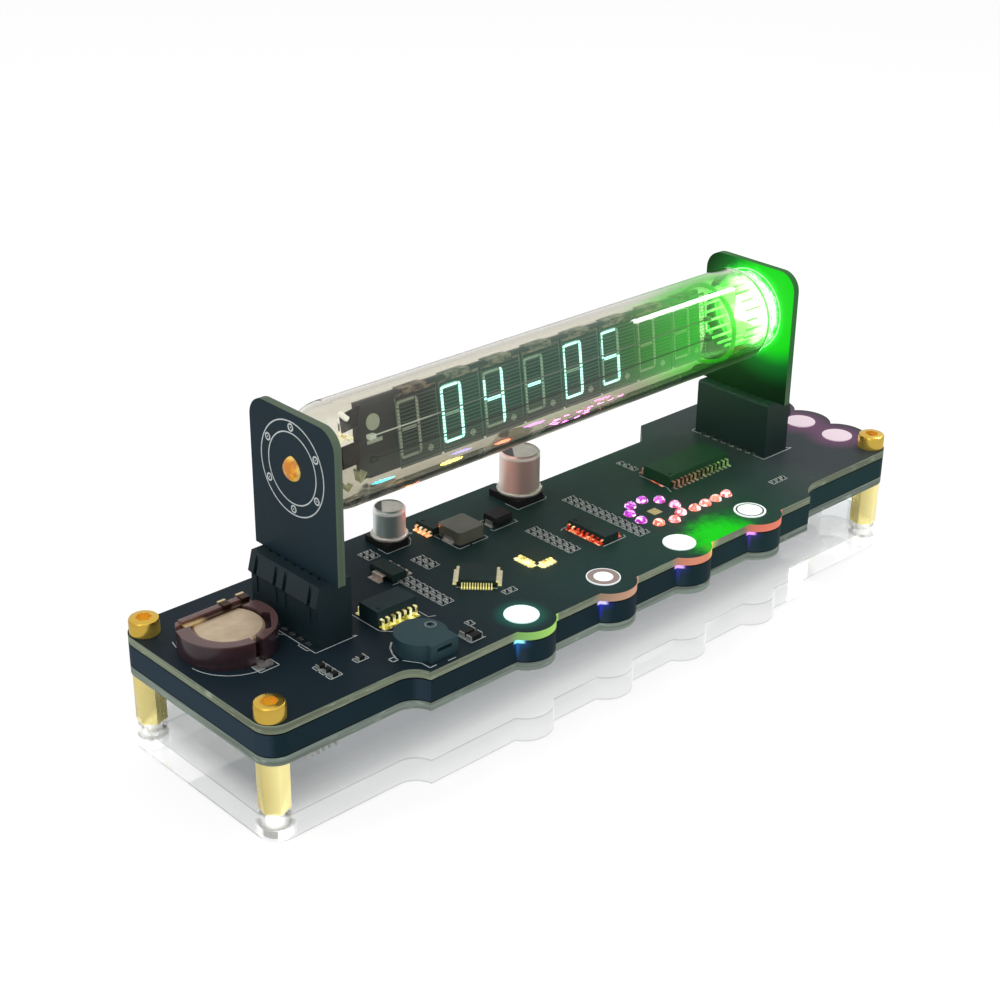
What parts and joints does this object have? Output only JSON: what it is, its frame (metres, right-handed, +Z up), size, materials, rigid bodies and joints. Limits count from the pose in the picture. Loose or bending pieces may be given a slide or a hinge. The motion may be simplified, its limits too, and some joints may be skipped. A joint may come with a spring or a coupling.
{
  "type": "vacuum fluorescent tube desk clock",
  "caption": "Desk clock: long fluorescent display tube held between two plug-in uprights over a stack of dark circuit boards with touch keys, on brass standoffs and a clear base.",
  "frame": {"origin": "middle of the underside of the clear base, at the centre of the whole outline", "axes": "+X along the tube in reading direction, -Y is the front with the four touch keys, +Z up"},
  "size_m": [0.1688, 0.05, 0.0633],
  "materials": {
    "acrylic": "clear polished",
    "brass": "bright",
    "board": "glossy dark solder mask",
    "frame": "satin",
    "socket_plastic": "satin",
    "gold": "gold plated",
    "tin": "tinned",
    "steel": "satin",
    "glass": "clear",
    "substrate": "grey",
    "lit_phosphor": "glowing",
    "unlit_phosphor": "matt powder",
    "grid_metal": "fine etched",
    "amber_rubber": "translucent",
    "lamp": "glowing",
    "holder_plastic": "smoky translucent",
    "cell_steel": "satin",
    "buzzer_plastic": "matt",
    "can_aluminium": "satin sleeve",
    "black_plastic": "matt",
    "ferrite": "matt",
    "chip_plastic": "matt",
    "key_white": "printed",
    "jewel": "clear coloured"
  },
  "bodies": {
    "base": {"base_plate": "acrylic", "base_screws": "brass", "standoffs": "brass", "lower_board": "board", "spacer_frame": "frame", "main_board": "board", "top_screws": "brass", "board_link": "black_plastic", "service_pins": "tin", "usb_shell": "steel", "usb_tongue": "black_plastic", "left_socket": "socket_plastic", "right_socket": "socket_plastic", "left_contacts": "gold", "right_contacts": "gold", "coin_holder": "holder_plastic", "coin_contacts": "gold", "coin_cell": "cell_steel", "buzzer": "buzzer_plastic", "small_capacitor_can": "can_aluminium", "small_capacitor_base": "black_plastic", "large_capacitor_can": "can_aluminium", "large_capacitor_base": "black_plastic", "inductor_core": "ferrite", "inductor_terminals": "tin", "rectifier_body": "chip_plastic", "rectifier_terminals": "tin", "regulator_body": "chip_plastic", "regulator_leads": "tin", "converter_chip": "chip_plastic", "converter_leads": "tin", "clock_chip": "chip_plastic", "clock_chip_leads": "gold", "controller_chip": "chip_plastic", "controller_leads": "gold", "sensor_chip": "chip_plastic", "sensor_leads": "gold", "register_chip": "chip_plastic", "register_leads": "tin", "driver_chip": "chip_plastic", "driver_leads": "tin", "chip_bodies": "chip_plastic", "chip_ends": "tin", "touch_keys": "key_white", "key_lights": "lamp", "jewel_lights": "jewel"},
    "display": {"left_upright": "board", "right_upright": "board", "tube_glass": "glass", "tube_leads": "tin", "tube_substrate": "substrate", "lit_segments": "lit_phosphor", "unlit_segments": "unlit_phosphor", "control_grids": "grid_metal", "filament_wires": "steel", "tube_spacers": "steel", "getter": "steel", "tip_grommet": "amber_rubber", "tube_light": "lamp"}
  },
  "joints": [
    {"name": "display_unplug", "type": "slide", "parent": "base", "child": "display", "axis": [0, 0, 1], "range_m": [0, 0.012]}
  ]
}
